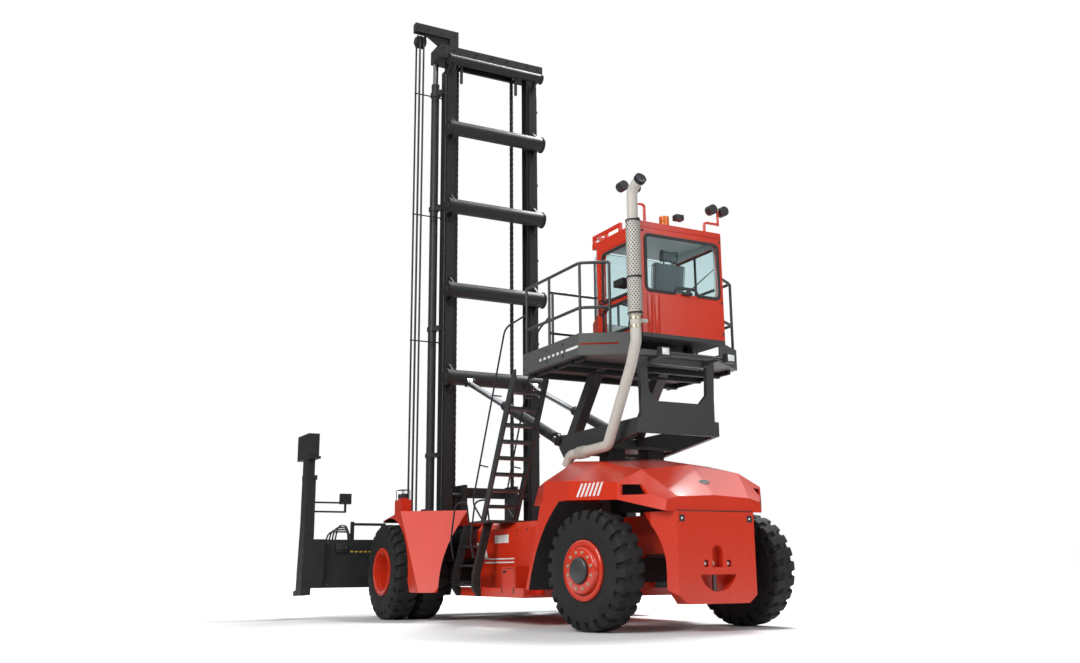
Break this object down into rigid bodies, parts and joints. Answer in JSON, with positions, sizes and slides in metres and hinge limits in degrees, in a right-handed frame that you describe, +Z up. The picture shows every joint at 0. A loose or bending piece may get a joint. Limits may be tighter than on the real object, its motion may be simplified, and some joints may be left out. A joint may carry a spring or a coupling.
{
  "type": "empty container handler",
  "caption": "Lift truck for empty shipping containers with a tall two-stage mast, a telescopic side spreader, twin front wheels, steered rear wheels and a raised cab.",
  "frame": {"origin": "on the ground under the middle of the machine's bounding box", "axes": "+X to the front, where the spreader is; +Y to the driver's left; +Z up"},
  "size_m": [6.96, 6, 10.04],
  "materials": {
    "red_paint": "gloss",
    "dark_paint": "satin",
    "grey_paint": "satin",
    "cream_paint": "satin",
    "polished_rod": "polished",
    "steel": "satin",
    "tyre_rubber": "matte",
    "hose_rubber": "matte",
    "window_glass": "clear",
    "black_plastic": "matte",
    "amber_plastic": "gloss",
    "seat_fabric": "matte"
  },
  "bodies": {
    "chassis": {"chassis_frame": "red_paint", "front_fenders": "red_paint", "filler_box": "red_paint", "rear_fenders": "red_paint", "side_boxes": "red_paint", "side_sills": "red_paint", "counterweight": "red_paint", "tow_pin": "steel", "rear_lamps": "black_plastic", "hood": "red_paint", "engine_block": "dark_paint", "drive_axle": "dark_paint", "steer_axle": "dark_paint", "tower_base": "grey_paint", "tower_columns": "grey_paint", "tower_uprights": "grey_paint", "platform_deck": "grey_paint", "platform_railings": "grey_paint", "upper_ladder": "grey_paint", "lower_steps": "dark_paint", "cab_floor": "grey_paint", "cab_rear_panel": "red_paint", "cab_right_panel": "red_paint", "cab_left_frame": "red_paint", "cab_nose_panel": "red_paint", "cab_roof": "red_paint", "cab_glass": "window_glass", "driver_seat": "seat_fabric", "steering_console": "black_plastic", "roof_lamps": "black_plastic", "beacon": "amber_plastic", "exhaust_pipe": "cream_paint", "exhaust_shield": "cream_paint"},
    "front_wheels_left": {"front_tyres_left": "tyre_rubber", "front_rims_left": "red_paint"},
    "front_wheels_right": {"front_tyres_right": "tyre_rubber", "front_rims_right": "red_paint"},
    "steer_knuckle_left": {"knuckle_left": "dark_paint"},
    "steer_knuckle_right": {"knuckle_right": "dark_paint"},
    "rear_wheel_left": {"rear_tyre_left": "tyre_rubber", "rear_rim_left": "red_paint"},
    "rear_wheel_right": {"rear_tyre_right": "tyre_rubber", "rear_rim_right": "red_paint"},
    "outer_mast": {"outer_rails": "dark_paint", "mast_cross_tubes": "dark_paint", "lift_barrels": "dark_paint"},
    "inner_mast": {"inner_rails": "dark_paint", "mast_crosshead": "dark_paint", "chain_sheaves": "steel", "lift_rods": "polished_rod", "lift_chains": "steel", "mast_hoses": "hose_rubber"},
    "tilt_cylinder_barrels": {"tilt_barrels": "dark_paint"},
    "tilt_cylinder_rods": {"tilt_rods": "polished_rod"},
    "lift_carriage": {"carriage": "dark_paint"},
    "spreader": {"spreader_beam": "dark_paint"},
    "telescopic_arm_left": {"spreader_arm_left": "dark_paint"},
    "telescopic_arm_right": {"spreader_arm_right": "dark_paint"},
    "door": {"cab_door": "red_paint", "cab_door_glass": "window_glass"}
  },
  "joints": [
    {"name": "front_left_spin", "type": "hinge", "parent": "chassis", "child": "front_wheels_left", "pos_m": [1.93, 1.67, 0.685], "axis": [0, 1, 0], "continuous": true},
    {"name": "front_right_spin", "type": "hinge", "parent": "chassis", "child": "front_wheels_right", "pos_m": [1.93, -1.67, 0.685], "axis": [0, 1, 0], "continuous": true},
    {"name": "steer_left", "type": "hinge", "parent": "chassis", "child": "steer_knuckle_left", "pos_m": [-2.58, 0.9, 0.685], "axis": [0, 0, 1], "range_deg": [-70, 50]},
    {"name": "steer_right", "type": "hinge", "parent": "chassis", "child": "steer_knuckle_right", "pos_m": [-2.58, -0.9, 0.685], "axis": [0, 0, 1], "range_deg": [-70, 50]},
    {"name": "rear_left_spin", "type": "hinge", "parent": "steer_knuckle_left", "child": "rear_wheel_left", "pos_m": [-2.61647, 1.10681, 0.685], "axis": [-0.1736, 0.9848, 0], "continuous": true},
    {"name": "rear_right_spin", "type": "hinge", "parent": "steer_knuckle_right", "child": "rear_wheel_right", "pos_m": [-2.54353, -1.10681, 0.685], "axis": [-0.1736, 0.9848, 0], "continuous": true},
    {"name": "mast_tilt", "type": "hinge", "parent": "chassis", "child": "outer_mast", "pos_m": [2.375, 0, 0.64], "axis": [0, 1, 0], "range_deg": [-4, 3]},
    {"name": "tilt_barrel_swing", "type": "hinge", "parent": "chassis", "child": "tilt_cylinder_barrels", "pos_m": [-0.89, 0, 2.405], "axis": [0, 1, 0], "range_deg": [-1.3, 1]},
    {"name": "tilt_rod_slide", "type": "slide", "parent": "tilt_cylinder_barrels", "child": "tilt_cylinder_rods", "axis": [0.9231, 0, 0.3846], "range_m": [-0.204, 0.154]},
    {"name": "mast_lift", "type": "slide", "parent": "outer_mast", "child": "inner_mast", "axis": [0, 0, 1], "range_m": [0, 6.5]},
    {"name": "carriage_lift", "type": "slide", "parent": "inner_mast", "child": "lift_carriage", "axis": [0, 0, 1], "range_m": [0, 6.5]},
    {"name": "side_shift", "type": "slide", "parent": "lift_carriage", "child": "spreader", "axis": [0, 1, 0], "range_m": [-0.4, 0.4]},
    {"name": "arm_left_extend", "type": "slide", "parent": "spreader", "child": "telescopic_arm_left", "axis": [0, 1, 0], "range_m": [0, 3.066]},
    {"name": "arm_right_extend", "type": "slide", "parent": "spreader", "child": "telescopic_arm_right", "axis": [0, -1, 0], "range_m": [0, 3.066]},
    {"name": "door_swing", "type": "hinge", "parent": "chassis", "child": "door", "pos_m": [-2.93, 0.63, 4.095], "axis": [0, 0, 1], "range_deg": [0, 36]}
  ],
  "couplings": [
    {"joint": "steer_right", "follows": "steer_left", "ratio": 1},
    {"joint": "tilt_barrel_swing", "follows": "mast_tilt", "ratio": 0.27614},
    {"joint": "tilt_rod_slide", "follows": "mast_tilt", "m_per_rad": 2.8928},
    {"joint": "carriage_lift", "follows": "mast_lift", "ratio": 1},
    {"joint": "arm_right_extend", "follows": "arm_left_extend", "ratio": 1}
  ]
}
